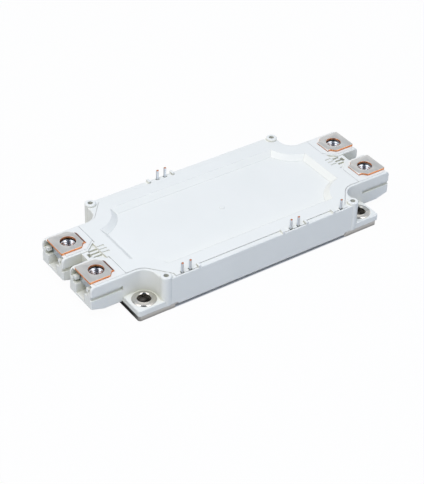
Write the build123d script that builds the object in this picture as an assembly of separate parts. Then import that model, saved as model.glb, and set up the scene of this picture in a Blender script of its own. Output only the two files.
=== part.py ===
from build123d import *
from math import acos, atan2, cos, degrees, hypot, sin
import os

# A half-bridge power transistor module, in millimetres.
# The origin is at the middle of the baseplate's bottom face.
# X runs along the long side, Y across it, and Z up.

# Grids that a mating part is drilled to
mount_pitch_x = 110.0
mount_pitch_y = 50.0
boss_offset_x = 7.75
boss_offset_y = 4.0
terminal_offset = 13.5
terminal_pitch_y = 22.0

# Baseplate
base_thickness = 3.0
base_end_setback = 0.4
base_side_setback = 0.5
base_corner = 0.8
base_edge = 0.2
waist_end_margin = 11.2
waist_depth = 1.7

# Housing frame
ear_end_margin = 6.2
ear_side_margin = 6.0
frame_top = 16.0
rim_chamfer = 0.3
scallop_clearance = 0.55
ear_height = 2.7
ear_round = 1.2
skirt_end_clearance = 0.8
skirt_depth = 0.9
skirt_clearance = 0.15
shelf_height = 4.4
shelf_end_wall = 8.2
shelf_side_wall = 6.0
ledge_width = 1.4

# Terminal towers
tower_end_margin = 7.5
tower_inner_margin = 8.35
tower_clearance = 0.6
tower_flank_wall = 1.05
tower_chamfer_run = 6.0
tower_top_round = 2.2
tower_edge_chamfer = 0.4
groove_drop = 4.9
groove_height = 1.8
groove_depth = 0.9
roof_setback = 1.15
pad_height = 0.2
pad_margin = 0.95
pad_setback = 2.6

# Nut pocket, bolt well and side slots in a tower
well_half_width = 3.3
well_depth = 4.15
well_wall = 0.85
well_back = 3.6
nut_gap = 0.6
nut_clearance = 0.1
latch_half_gap = 4.0
latch_length = 1.8
latch_thickness = 1.6
latch_rise = 1.6
latch_setback = 0.4
slot_width = 1.5
slot_drop = 1.2
slot_roof = 0.6
slot_front = 1.7

# Funnel and creepage comb between the towers of one end
web_drop = 0.7
gap_length = 8.9
comb_length = 3.95
comb_pitch = 2.1
comb_groove = 1.0
comb_drop = 1.6
pit_length = 1.4
pit_width = 2.4
pit_drop = 3.5
funnel_length = 3.65

# Lid
lid_end_rim = 2.0
lid_side_rim = 2.4
lid_rise = 0.2
lid_thickness = 1.8
lid_gap = 0.15
scallop_wall = 1.05
lid_diagonal_setback = 3.95
tongue_half_width = 5.5
tongue_overhang = 1.0
tongue_groove_length = 3.2
tongue_groove_depth = 0.4
tongue_seat_gap = 0.05
tab_setback = 0.7
dish_depth = 2.2
dish_slope = 2.4
dish_end_margin = 6.2
dish_side_margin = 6.4
dish_corner_margin = 6.7
dish_wall = 1.5
gate_radius = 1.0
gate_height = 0.15

# Circuit board bosses at the lid corners
boss_radius = 2.4
boss_rise = 1.0
boss_hole_radius = 1.1
boss_hole_depth = 9.0
boss_chamfer = 0.3

# Power terminals
terminal_rise = 1.0
terminal_thickness = 1.0
terminal_width = 12.0
terminal_end_margin = 6.5
terminal_shoulder_back = 2.9
terminal_shoulder_run = 1.8
terminal_neck_width = 7.7
terminal_leg_back = 6.3
terminal_foot_setback = 1.2
terminal_hole_radius = 3.3
terminal_bend = 0.9
terminal_corner = 0.5
terminal_clearance = 0.12

# Terminal nuts, square, M6
nut_across_flats = 10.0
nut_height = 5.0
nut_hole_radius = 2.5
nut_countersink = 0.6
nut_edge = 0.4

# Mounting bushes for M5 screws
bush_bore_radius = 2.75
bush_body_radius = 3.7
bush_flange_radius = 5.1
bush_flange_thickness = 0.5
bush_lip_radius = 3.3
bush_lip_height = 0.25
bush_clearance = 0.05
bush_bottom = 0.1

# Control pins
pin_width = 1.0
pin_thickness = 0.8
pin_setback = 1.3
pin_rise = 4.8
pin_point = 0.35
pin_foot = 3.8
pin_clearance = 0.3
pin_pitch = 3.81
left_pair_setback = 7.15
right_pin_setback = 7.05
middle_pair_x = 13.8
back_pair_x = -13.3

# Separator ribs on the rim beside each group of control pins
rib_width = 1.0
rib_rise = 1.0
rib_lead = 4.4
rib_trail = 3.9

# Ceramic substrates
substrate_count = 3
substrate_gap = 1.6
substrate_end_gap = 4.9
ceramic_thickness = 0.4
copper_thickness = 0.3
copper_margin = 0.8
solder_thickness = 0.15
solder_margin = 1.2
track_gap = 0.7
signal_width = 2.4
landing_width = 3.3
signal_split = -5.8

# Chips
chip_thickness = 0.25
igbt_length = 10.4
igbt_width = 10.0
igbt_offset = -6.6
diode_length = 8.0
diode_width = 9.0
diode_offset = 7.0
chip_margin = 0.45
sensor_length = 3.2
sensor_width = 1.6
sensor_height = 0.6

# Bond wires and ribbons
bond_thickness = 0.3
bond_foot = 0.8
bond_toe = 0.12
wire_width = 0.4
ribbon_width = 1.5
ribbon_pitch = 1.7
igbt_ribbon_pitch = 5.2
ribbon_setback = 1.0
ribbon_edge = 2.4
chip_loop = 1.6
bridge_loop = 1.2
terminal_loop = 1.3
control_loop = 1.1

# Gel and adhesive
gel_depth = 3.2
adhesive_width = 0.9
adhesive_inset = 0.5
adhesive_height = 0.4

# Places along X and Y that follow from the sizes above
mount_x = mount_pitch_x / 2
mount_y = mount_pitch_y / 2
boss_x = mount_x - boss_offset_x
boss_y = mount_y + boss_offset_y
terminal_x = mount_x + terminal_offset
terminal_y = terminal_pitch_y / 2
body_length = mount_pitch_x + 2 * ear_end_margin
frame_width = mount_pitch_y + 2 * ear_side_margin
base_length = body_length - 2 * base_end_setback
base_width = frame_width - 2 * base_side_setback
waist_length = mount_pitch_x - 2 * waist_end_margin
waist_width = base_width - 2 * waist_depth
shelf_length = body_length - 2 * shelf_end_wall
shelf_width = frame_width - 2 * shelf_side_wall
scallop_radius = bush_flange_radius + scallop_clearance
tower_reach = terminal_x + tower_end_margin
tower_outer = mount_y - scallop_radius
tower_inner = terminal_y - tower_inner_margin
slot_near = tower_inner + tower_flank_wall
slot_far = tower_outer - tower_flank_wall
room_near = slot_near + slot_width
room_far = slot_far - slot_width
lid_length = body_length - 2 * lid_end_rim
lid_width = frame_width - 2 * lid_side_rim
lid_corner_radius = scallop_radius + scallop_wall
lid_diagonal_x = boss_x - lid_diagonal_setback
tongue_reach = lid_length / 2 + tongue_overhang
comb_start = tongue_reach + lid_gap
comb_end = comb_start + comb_length
funnel_straight = comb_start + funnel_length
funnel_half_width = tongue_half_width + lid_gap
web_end = tower_reach - gap_length
terminal_reach = terminal_x + terminal_end_margin
terminal_shoulder = terminal_x - terminal_shoulder_back
terminal_neck_start = terminal_shoulder - terminal_shoulder_run
terminal_inner = terminal_x - terminal_leg_back
terminal_foot_end = shelf_length / 2 + terminal_foot_setback
pin_row = frame_width / 2 - pin_setback
left_pair_x = left_pair_setback - boss_x
right_pin_x = boss_x - right_pin_setback
high_side_width = igbt_width + 2 * chip_margin
phase_width = high_side_width + landing_width
copper_width = high_side_width + phase_width + landing_width + 2 * signal_width + 4 * track_gap
ceramic_width = copper_width + 2 * copper_margin
substrate_room = shelf_length - 2 * substrate_end_gap - (substrate_count - 1) * substrate_gap
ceramic_length = substrate_room / substrate_count
substrate_pitch = ceramic_length + substrate_gap
copper_half_length = ceramic_length / 2 - copper_margin

# Heights that follow from the sizes above
ear_top = base_thickness + ear_height
shelf_top = base_thickness + shelf_height
lid_top = frame_top + lid_rise
lid_bottom = lid_top - lid_thickness
boss_top = frame_top + boss_rise
rib_top = frame_top + rib_rise
web_top = frame_top - web_drop
groove_top = frame_top - groove_drop
slot_top = frame_top - slot_roof
terminal_top = frame_top + terminal_rise
terminal_bottom = terminal_top - terminal_thickness
nut_seat = terminal_bottom - nut_gap - nut_height
well_floor = nut_seat - well_depth
latch_bottom = nut_seat + latch_rise
latch_top = latch_bottom + latch_thickness
slot_bottom = latch_top - slot_drop
tower_bottom = base_thickness + tower_clearance
tower_end_bottom = well_floor - well_wall
pin_top = frame_top + pin_rise
gel_top = shelf_top + gel_depth
copper_bottom = base_thickness + solder_thickness
ceramic_bottom = copper_bottom + copper_thickness
track_bottom = ceramic_bottom + ceramic_thickness
track_top = track_bottom + copper_thickness
chip_top = track_top + chip_thickness

# How far a cutting block runs past the face that it cuts
over = 1.0

ends = {"left": -1, "right": 1}
sides = {"front": -1, "back": 1}


def block(x0, x1, y0, y1, z0, z1):
    """A box between two corners."""
    corner = (min(x0, x1), min(y0, y1), min(z0, z1))
    size = (abs(x1 - x0), abs(y1 - y0), abs(z1 - z0))
    return Pos(*corner) * Box(*size, align=(Align.MIN, Align.MIN, Align.MIN))


def prism(face, z0, z1):
    """A flat face pushed straight up from z0 to z1."""
    return extrude(Pos(0, 0, z0) * face, amount=z1 - z0)


def side_profile(points, y0, y1):
    """A closed outline in X and Z, pushed along Y from y0 to y1."""
    face = make_face(Plane.XZ.offset(-y1) * Polyline(*points, close=True))
    return extrude(face, amount=y1 - y0, dir=(0, -1, 0))


def mirrored(shape, end, side):
    """A shape of the right back quarter, moved to another quarter."""
    if end < 0:
        shape = mirror(shape, about=Plane.YZ)
    if side < 0:
        shape = mirror(shape, about=Plane.XZ)
    return shape


def four_ways(shape):
    """The same shape in each quarter."""
    return [mirrored(shape, end, side) for end in ends.values() for side in sides.values()]


def both_ends(shape):
    return [shape, mirror(shape, about=Plane.YZ)]


def at(x, y):
    return Pos(x, y, 0)


def signal_rows():
    """Each control pin as (x, side)."""
    front = [left_pair_x, left_pair_x + pin_pitch]
    front += [middle_pair_x, middle_pair_x + pin_pitch, right_pin_x]
    back = [back_pair_x, back_pair_x + pin_pitch]
    return [(x, -1) for x in front] + [(x, 1) for x in back]


def rim_ribs():
    """Each separator rib as (x, side)."""
    front = [
        left_pair_x + pin_pitch + rib_trail,
        middle_pair_x - rib_lead,
        middle_pair_x + pin_pitch + rib_trail,
        right_pin_x - rib_lead,
    ]
    back = [back_pair_x - rib_lead, back_pair_x + pin_pitch + rib_trail]
    return [(x, -1) for x in front] + [(x, 1) for x in back]


def tab_spans():
    """The stretches of the lid's edge that reach out round the control pins."""
    half = rib_width / 2 + lid_gap
    left, middle_left, middle_right, right = [x for x, side in rim_ribs() if side < 0]
    back_left, back_right = [x for x, side in rim_ribs() if side > 0]
    return [
        (-lid_diagonal_x, left - half, -1),
        (middle_left + half, middle_right - half, -1),
        (right + half, lid_diagonal_x, -1),
        (back_left + half, back_right - half, 1),
    ]


def tangent_point():
    """Where the lid's diagonal edge leaves its arc round the mounting screw."""
    away_x = lid_diagonal_x - mount_x
    away_y = lid_width / 2 - mount_y
    heading = atan2(away_y, away_x) + acos(lid_corner_radius / hypot(away_x, away_y))
    return (mount_x + lid_corner_radius * cos(heading), mount_y + lid_corner_radius * sin(heading))


def lid_face():
    """The lid's outline without its tongues, cut back round the four mounting screws."""
    far = body_length
    face = Rectangle(lid_length, lid_width)
    corner = at(mount_x, mount_y) * Circle(lid_corner_radius)
    corner += make_face(
        Polyline(
            tangent_point(),
            (lid_diagonal_x, lid_width / 2),
            (lid_diagonal_x, far),
            (far, far),
            (far, mount_y - lid_corner_radius),
            (mount_x, mount_y - lid_corner_radius),
            (mount_x, mount_y),
            close=True,
        )
    )
    for cut in four_ways(corner):
        face -= cut
    return face


def tongue_face(grow=0.0):
    """The two tongues that reach out over the webs, as one strip."""
    return Rectangle(2 * (tongue_reach + grow), 2 * (tongue_half_width + grow))


def tab_face(grow=0.0):
    tabs = []
    for start, stop, side in tab_spans():
        reach = frame_width / 2 - tab_setback + grow
        tab = Rectangle(stop - start + 2 * grow, reach)
        tabs.append(at((start + stop) / 2, side * reach / 2) * tab)
    return Sketch() + tabs


def dish_face():
    """The top outline of the lid's shallow dish."""
    face = Rectangle(lid_length - 2 * dish_end_margin, lid_width - 2 * dish_side_margin)
    dish_corner_radius = lid_corner_radius + dish_corner_margin
    for x in (-mount_x, mount_x):
        for y in (-mount_y, mount_y):
            face -= at(x, y) * Circle(dish_corner_radius)
    return face


def upper_cavity_face():
    """The inside of the frame, a ledge's width within the lid, with straight corners."""
    lean = hypot(lid_diagonal_x - tangent_point()[0], lid_width / 2 - tangent_point()[1])
    run_x = (tangent_point()[0] - lid_diagonal_x) / lean
    run_y = (lid_width / 2 - tangent_point()[1]) / lean
    reach = lid_corner_radius + ledge_width
    half_x = lid_length / 2 - ledge_width
    half_y = lid_width / 2 - ledge_width
    start_x = mount_x - reach * run_y
    start_y = mount_y - reach * run_x
    shoulder_y = mount_y - reach
    shoulder_x = start_x + (start_y - shoulder_y) * run_x / run_y
    corner_x = start_x - (half_y - start_y) * run_x / run_y
    quarter = [(half_x, shoulder_y), (shoulder_x, shoulder_y), (corner_x, half_y)]
    outline = quarter + [(-x, y) for x, y in reversed(quarter)]
    outline += [(x, -y) for x, y in reversed(outline)]
    return make_face(Polyline(*outline, close=True))


def lower_cavity_face():
    return upper_cavity_face() & Rectangle(shelf_length, shelf_width)


def make_baseplate():
    face = Rectangle(base_length, base_width)
    face = chamfer(face.vertices(), base_corner)
    for side in sides.values():
        waist_cut = (base_width - waist_width) / 2 + over
        y = side * (waist_width / 2 + waist_cut / 2)
        face -= at(0, y) * Rectangle(waist_length, waist_cut)
    plate = prism(face, 0, base_thickness)
    plate = chamfer(plate.faces().sort_by(Axis.Z)[-1].outer_wire().edges(), base_edge)
    plate = chamfer(plate.faces().sort_by(Axis.Z)[0].outer_wire().edges(), base_edge)
    for x in (-mount_x, mount_x):
        for y in (-mount_y, mount_y):
            hole = Cylinder(bush_body_radius + bush_clearance, 4 * base_thickness)
            plate -= at(x, y) * hole
    return plate


def body_face():
    """The frame's outline above the ears, scalloped round each mounting screw up to the boss."""
    face = Rectangle(body_length, frame_width)
    far = body_length
    scallop = at(mount_x, mount_y) * Circle(scallop_radius)
    scallop += make_face(
        Polyline(
            (mount_x - scallop_radius, mount_y),
            (mount_x, mount_y),
            (mount_x, tower_outer),
            (far, tower_outer),
            (far, far),
            (boss_x, far),
            (boss_x, boss_y),
            (mount_x - scallop_radius, boss_y),
            close=True,
        )
    )
    for cut in four_ways(scallop):
        face -= cut
    return face


def make_body():
    body = prism(body_face(), base_thickness, frame_top)
    rim = body.faces().sort_by(Axis.Z)[-1].outer_wire().edges()
    body = chamfer(rim, rim_chamfer)
    ear = Rectangle(body_length, frame_width)
    ear = fillet(ear.vertices(), ear_round)
    ear -= Rectangle(2 * boss_x, 2 * frame_width)
    ears = prism(ear, base_thickness, ear_top)
    ears = chamfer(ears.faces().filter_by(Axis.Z).group_by(Axis.Z)[-1].edges(), rim_chamfer)
    skirt_inner = waist_width / 2 + skirt_clearance
    skirt_bottom = base_thickness - skirt_depth
    half = waist_length / 2 - skirt_end_clearance
    skirt_points = [
        (-half, base_thickness),
        (-half + skirt_depth, skirt_bottom),
        (half - skirt_depth, skirt_bottom),
        (half, base_thickness),
    ]
    skirt = side_profile(skirt_points, skirt_inner, frame_width / 2)
    body += ears
    body += [skirt, mirror(skirt, about=Plane.XZ)]
    boss = Cylinder(boss_radius, boss_top - base_thickness, align=(Align.CENTER, Align.CENTER, Align.MIN))
    boss = chamfer(boss.edges().sort_by(Axis.Z)[-1], boss_chamfer)
    boss = Pos(boss_x, boss_y, base_thickness) * boss
    body += four_ways(boss)
    return body


def tower_shell():
    """The outside of the tower in the right back quarter."""
    root = shelf_length / 2 + ledge_width
    points = [
        (root, tower_bottom),
        (tower_reach - tower_chamfer_run, tower_bottom),
        (tower_reach, tower_end_bottom),
        (tower_reach, frame_top),
        (root, frame_top),
    ]
    tower = side_profile(points, tower_inner, tower_outer)
    tip = tower.edges().filter_by(Axis.Y).group_by(Axis.X)[-1].sort_by(Axis.Z)[-1]
    tower = fillet(tip, tower_top_round)
    flanks = tower.faces().filter_by(Axis.Y)
    rims = [edge for face in flanks for edge in face.edges() if edge.center().Z > groove_top]
    rims = [edge for edge in rims if edge.center().X > root + over]
    return chamfer(rims, tower_edge_chamfer)


def terminal_outline():
    """A power terminal seen from above, in the right back quarter."""
    wide = terminal_width / 2
    neck = terminal_neck_width / 2
    points = [
        (terminal_foot_end, terminal_y - neck),
        (terminal_neck_start, terminal_y - neck),
        (terminal_shoulder, terminal_y - wide),
        (terminal_reach, terminal_y - wide),
        (terminal_reach, terminal_y + wide),
        (terminal_shoulder, terminal_y + wide),
        (terminal_neck_start, terminal_y + neck),
        (terminal_foot_end, terminal_y + neck),
    ]
    face = make_face(Polyline(*points, close=True))
    corners = face.vertices().sort_by(Axis.X)
    face = fillet(corners[-2:], terminal_corner)
    bends = [v for v in face.vertices() if terminal_neck_start - 0.01 < v.X < terminal_shoulder + 0.01]
    return fillet(bends, terminal_bend)


def make_terminal():
    """A bent copper terminal: plate on top, leg down, foot in towards the chips."""
    leg_outer = terminal_inner + terminal_thickness
    foot_top = shelf_top + terminal_thickness
    points = [
        (terminal_reach, terminal_top),
        (terminal_inner, terminal_top),
        (terminal_inner, foot_top),
        (terminal_foot_end, foot_top),
        (terminal_foot_end, shelf_top),
        (leg_outer, shelf_top),
        (leg_outer, terminal_bottom),
        (terminal_reach, terminal_bottom),
    ]
    strip = side_profile(points, terminal_y - terminal_width / 2, terminal_y + terminal_width / 2)
    terminal = strip & prism(terminal_outline(), shelf_top - over, terminal_top + over)
    hole = Cylinder(terminal_hole_radius, 2 * terminal_top)
    return terminal - Pos(terminal_x, terminal_y, terminal_top) * hole


def nut_face(grow=0.0):
    side = nut_across_flats + 2 * grow
    return at(terminal_x, terminal_y) * Rectangle(side, side)


def make_nut():
    nut = prism(nut_face(), nut_seat, nut_seat + nut_height)
    nut = chamfer(nut.faces().sort_by(Axis.Z)[-1].edges(), nut_edge)
    hole = Cylinder(nut_hole_radius, 4 * nut_height)
    nut -= Pos(terminal_x, terminal_y, nut_seat) * hole
    mouth = nut.edges().filter_by(GeomType.CIRCLE).sort_by(Axis.Z)[-1]
    return chamfer(mouth, nut_countersink)


def tower_hollows():
    """Everything cut out of a tower in the right back quarter."""
    out = tower_reach + over
    high = lid_top + over
    y = terminal_y
    start = terminal_x + slot_front
    roof_reach = tower_reach - roof_setback
    latch_front = tower_reach - latch_setback
    latch_back = latch_front - latch_length
    groove_bottom = groove_top - groove_height
    well_start = terminal_x - well_back
    cuts = [
        block(well_start, out, y - well_half_width, y + well_half_width, well_floor, nut_seat + over),
        prism(nut_face(nut_clearance), nut_seat, terminal_bottom),
        block(start, out, room_near, room_far, nut_seat, latch_bottom),
        block(start, out, room_near, room_far, latch_top, terminal_bottom),
        block(start, latch_back, room_near, room_far, nut_seat, terminal_bottom),
        block(start, out, y - latch_half_gap, y + latch_half_gap, nut_seat, terminal_bottom),
        block(latch_front, out, room_near, room_far, nut_seat, high),
        block(roof_reach, out, slot_near, slot_far, latch_top, high),
    ]
    for near, far in ((slot_near, room_near), (room_far, slot_far)):
        cuts.append(block(start, out, near, far, slot_bottom, slot_top))
    for flank, depth in ((tower_outer, -groove_depth), (tower_inner, groove_depth)):
        inside = flank + depth
        outside = flank - depth
        cuts.append(block(body_length / 2, out, inside, outside, groove_bottom, groove_top))
    return cuts


def terminal_pad():
    """The raised pad on the tower's top, with a window for the terminal's plate."""
    near = tower_inner + pad_margin
    far = tower_outer - pad_margin
    start = lid_length / 2 + lid_gap
    reach = tower_reach - pad_setback
    lean = funnel_length / (funnel_half_width - tower_inner)
    turn = near + (funnel_straight - start) / lean
    points = [(start, far), (reach, far), (reach, near), (funnel_straight, near), (start, turn)]
    face = make_face(Polyline(*points, close=True))
    return prism(face, frame_top - rim_chamfer, frame_top + pad_height)


def end_web():
    """The wall between the two towers of the right end, with its creepage comb."""
    start = shelf_length / 2 + ledge_width
    return block(start, web_end, -tower_inner - over, tower_inner + over, tower_bottom, web_top)


def comb_rows():
    """The Y centres of the grooves in the comb and in the lid's tongue."""
    return (-comb_pitch, 0, comb_pitch)


def funnel_cuts():
    """The sunk funnel between the towers, and the comb and pit in its floor."""
    high = lid_top + over
    points = [
        (comb_start, -funnel_half_width),
        (funnel_straight, -tower_inner),
        (web_end + over, -tower_inner),
        (web_end + over, tower_inner),
        (funnel_straight, tower_inner),
        (comb_start, funnel_half_width),
    ]
    funnel = prism(make_face(Polyline(*points, close=True)), web_top, high)
    cuts = [funnel]
    for y in comb_rows():
        y0 = y - comb_groove / 2
        y1 = y + comb_groove / 2
        cuts.append(block(comb_start, comb_end, y0, y1, frame_top - comb_drop, high))
    half = pit_width / 2
    cuts.append(block(comb_end, comb_end + pit_length, -half, half, frame_top - pit_drop, high))
    return cuts


def terminal_pocket():
    """The room for a terminal: a close slot inside, a little wider round the plate."""
    plate = offset(terminal_outline(), amount=terminal_clearance)
    plate &= at(terminal_x, terminal_y) * Rectangle(2 * (terminal_x - terminal_inner), 2 * terminal_width)
    return prism(plate, terminal_bottom, terminal_top + over)


def make_frame(terminal, pins, adhesive):
    tower = tower_shell()
    frame = make_body() + four_ways(tower)
    frame += both_ends(end_web())
    frame += four_ways(terminal_pad())
    for x, side in rim_ribs():
        y0 = side * (lid_width / 2 + lid_gap)
        y1 = side * frame_width / 2
        frame += block(x - rib_width / 2, x + rib_width / 2, y0, y1, frame_top - over, rib_top)

    lid_room = offset(lid_face(), amount=lid_gap) + tab_face(lid_gap)
    cuts = [
        prism(lower_cavity_face(), base_thickness - over, shelf_top),
        prism(upper_cavity_face(), shelf_top, lid_bottom),
        prism(lid_room, lid_bottom, boss_top + over),
        prism(tongue_face(lid_gap), web_top, boss_top + over),
    ]
    for end_cuts in funnel_cuts():
        cuts += both_ends(end_cuts)
    for hollow in tower_hollows():
        cuts += four_ways(hollow)
    cuts += four_ways(terminal_pocket())
    cuts += four_ways(terminal)
    bush_room = Cylinder(bush_body_radius + bush_clearance, 4 * ear_top)
    cuts += four_ways(at(mount_x, mount_y) * bush_room)
    screw_hole = Cylinder(boss_hole_radius, boss_hole_depth, align=(Align.CENTER, Align.CENTER, Align.MIN))
    hole_bottom = boss_top - boss_hole_depth
    cuts += four_ways(Pos(boss_x, boss_y, hole_bottom) * screw_hole)
    cuts += pins
    cuts.append(adhesive)
    return frame - cuts


def make_lid():
    plate = prism(lid_face() + tab_face(), lid_bottom, lid_top)
    plate += prism(tongue_face(), web_top + tongue_seat_gap, lid_top)
    floor = offset(dish_face(), amount=-dish_slope)
    dish_bottom = lid_top - dish_depth
    tub = prism(offset(floor, amount=dish_wall), dish_bottom - dish_wall, lid_bottom)
    low = Pos(0, 0, dish_bottom) * floor
    high = Pos(0, 0, lid_top) * dish_face()
    dish = loft([low.face(), high.face()], ruled=True)
    lid = plate + tub - dish
    gate = Cylinder(gate_radius, 2 * gate_height)
    lid += Pos(0, 0, dish_bottom) * gate
    grooves = []
    floor_z = lid_top - tongue_groove_depth
    groove_start = tongue_reach - tongue_groove_length
    for y in comb_rows():
        y0 = y - comb_groove / 2
        y1 = y + comb_groove / 2
        groove = block(groove_start, tongue_reach + over, y0, y1, floor_z, lid_top + over)
        grooves += both_ends(groove)
    for x, side in signal_rows():
        length = pin_width + 2 * pin_clearance
        width = pin_thickness + 2 * pin_clearance
        grooves.append(at(x, side * pin_row) * Box(length, width, 4 * lid_top))
    return lid - grooves


def make_bush():
    """A flanged mounting bush, turned about its own axis."""
    flange_top = ear_top + bush_flange_thickness
    lip_top = flange_top + bush_lip_height
    points = [
        (bush_bore_radius, bush_bottom),
        (bush_body_radius, bush_bottom),
        (bush_body_radius, ear_top),
        (bush_flange_radius, ear_top),
        (bush_flange_radius, flange_top),
        (bush_lip_radius, flange_top),
        (bush_bore_radius, lip_top),
    ]
    face = make_face(Plane.XZ * Polyline(*points, close=True))
    return at(mount_x, mount_y) * revolve(face, Axis.Z)


def make_pin(x, side):
    """A control pin: post up through the rim, foot in to the shelf."""
    outer = pin_row + pin_thickness / 2
    inner = pin_row - pin_thickness / 2
    foot_end = pin_row - pin_foot
    foot_top = shelf_top + pin_thickness
    points = [
        (side * foot_end, shelf_top),
        (side * outer, shelf_top),
        (side * outer, pin_top - pin_point),
        (side * (outer - pin_point / 2), pin_top),
        (side * (inner + pin_point / 2), pin_top),
        (side * inner, pin_top - pin_point),
        (side * inner, foot_top),
        (side * foot_end, foot_top),
    ]
    face = make_face(Plane.YZ.offset(x - pin_width / 2) * Polyline(*points, close=True))
    return extrude(face, amount=pin_width, dir=(1, 0, 0))


def make_adhesive():
    low = lower_cavity_face()
    outer = offset(low, amount=adhesive_inset + adhesive_width, kind=Kind.INTERSECTION)
    ring = outer - offset(low, amount=adhesive_inset, kind=Kind.INTERSECTION)
    return prism(ring, base_thickness, base_thickness + adhesive_height)


def substrate_centres():
    middle = (substrate_count - 1) / 2
    return [(index - middle) * substrate_pitch for index in range(substrate_count)]


def track_rows():
    """The copper islands' Y spans, from the back edge to the front one."""
    rows = {}
    edge = copper_width / 2
    for name, width in (
        ("high_signal", signal_width),
        ("high_side", high_side_width),
        ("phase", phase_width),
        ("return", landing_width),
        ("low_signal", signal_width),
    ):
        rows[name] = (edge - width, edge)
        edge -= width + track_gap
    return rows


def make_tracks(cx):
    """The etched copper on one substrate."""
    islands = []
    half = copper_half_length
    for name, (y0, y1) in track_rows().items():
        spans = [(-half, half)]
        if name.endswith("signal"):
            split = signal_split
            spans = [(-half, split - track_gap / 2), (split + track_gap / 2, half)]
        for x0, x1 in spans:
            islands.append(block(cx + x0, cx + x1, y0, y1, track_bottom, track_top))
    return islands


def chip_row(name):
    """The Y centre of the chips on the high side or phase island."""
    y0, y1 = track_rows()[name]
    if name == "high_side":
        return (y0 + y1) / 2
    return y0 + chip_margin + igbt_width / 2


def make_chip(x, y, length, width):
    return block(x - length / 2, x + length / 2, y - width / 2, y + width / 2, track_top, chip_top)


def make_bond(start, stop, loop, width):
    """A bonded wire or ribbon: a foot pressed thin at each toe, and a peaked loop between them."""
    x0, y0, z0 = start
    x1, y1, z1 = stop
    length = hypot(x1 - x0, y1 - y0)
    peak = max(z0, z1) + loop
    under = [(0, z0), (bond_foot, z0), (length / 2, peak), (length - bond_foot, z1), (length, z1)]
    upper = [(length, z1 + bond_toe), (length / 2, peak + bond_thickness), (0, z0 + bond_toe)]
    bond = side_profile(under + upper, -width / 2, width / 2)
    heading = degrees(atan2(y1 - y0, x1 - x0))
    return Pos(x0, y0, 0) * Rot(0, 0, heading) * bond


def chip_wires(cx):
    """The ribbons and gate wires of both switches on one substrate."""
    rows = track_rows()
    bonds = []
    for source, landing, signal in (
        ("high_side", "phase", "high_signal"),
        ("phase", "return", "low_signal"),
    ):
        y = chip_row(source)
        land_y = sum(rows[landing]) / 2
        if landing == "phase":
            land_y = rows[landing][1] - bond_foot
        shift = igbt_ribbon_pitch / 2
        for column in (igbt_offset - shift, igbt_offset + shift, diode_offset):
            start = (cx + column, y - ribbon_setback, chip_top)
            stop = (cx + column, land_y, track_top)
            bonds.append(make_bond(start, stop, chip_loop, ribbon_width))
        away = 1 if signal == "high_signal" else -1
        gate_y = y + away * (igbt_width / 2 - bond_foot - chip_margin)
        start = (cx + igbt_offset, gate_y, chip_top)
        stop = (cx + igbt_offset, sum(rows[signal]) / 2, track_top)
        bonds.append(make_bond(start, stop, chip_loop, wire_width))
    return bonds


def bridge_wires(left_cx):
    """The ribbons that join like islands of two neighbouring substrates."""
    reach = copper_half_length - 1.5 * bond_foot
    x0 = left_cx + reach
    x1 = left_cx + substrate_pitch - reach
    bonds = []
    for name in ("high_side", "phase", "return"):
        y = sum(track_rows()[name]) / 2
        bonds.append(make_bond((x0, y, track_top), (x1, y, track_top), bridge_loop, ribbon_width))
    return bonds


def terminal_wires(end, side):
    """Two ribbons from a terminal's foot to the nearest substrate."""
    foot_x = terminal_foot_end + 2 * bond_foot
    foot_z = shelf_top + terminal_thickness
    edge = substrate_centres()[-1] + copper_half_length - 1.5 * bond_foot
    target = "phase"
    if end < 0:
        target = "high_side" if side > 0 else "return"
    y0, y1 = track_rows()[target]
    land_y = (y0 + y1) / 2
    if target == "phase":
        land_y = y1 - ribbon_edge if side > 0 else y0 + ribbon_edge
    run = foot_x - edge
    slant = hypot(run, side * terminal_y - land_y) / run
    bonds = []
    for shift in (-slant * ribbon_pitch / 2, slant * ribbon_pitch / 2):
        start = (end * foot_x, side * terminal_y + shift, foot_z)
        stop = (end * edge, land_y + shift, track_top)
        bonds.append(make_bond(start, stop, terminal_loop, ribbon_width))
    return bonds


def control_wires():
    """One wire from each control pin's foot to a signal island."""
    rows = track_rows()
    reach = copper_half_length - bond_foot
    foot_y = pin_row - pin_foot + bond_foot / 2
    bonds = []
    for x, side in signal_rows():
        name = "high_signal" if side > 0 else "low_signal"
        cx = min(substrate_centres(), key=lambda centre: abs(centre - x))
        land_x = min(max(x, cx - reach), cx + reach)
        start = (x, side * foot_y, shelf_top + pin_thickness)
        stop = (land_x, sum(rows[name]) / 2, track_top)
        bonds.append(make_bond(start, stop, control_loop, wire_width))
    return bonds


def make_sensor(cx):
    """The temperature sensor, on the wider front signal island."""
    y0, y1 = track_rows()["low_signal"]
    x = cx + copper_half_length - sensor_length
    y = (y0 + y1) / 2
    return block(
        x - sensor_length / 2,
        x + sensor_length / 2,
        y - sensor_width / 2,
        y + sensor_width / 2,
        track_top,
        track_top + sensor_height,
    )


def make_gel(sunk):
    """The soft gel that fills the housing over the chips and wires."""
    gel = prism(lower_cavity_face(), base_thickness, shelf_top)
    gel += prism(upper_cavity_face(), shelf_top, gel_top)
    return gel - sunk


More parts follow.
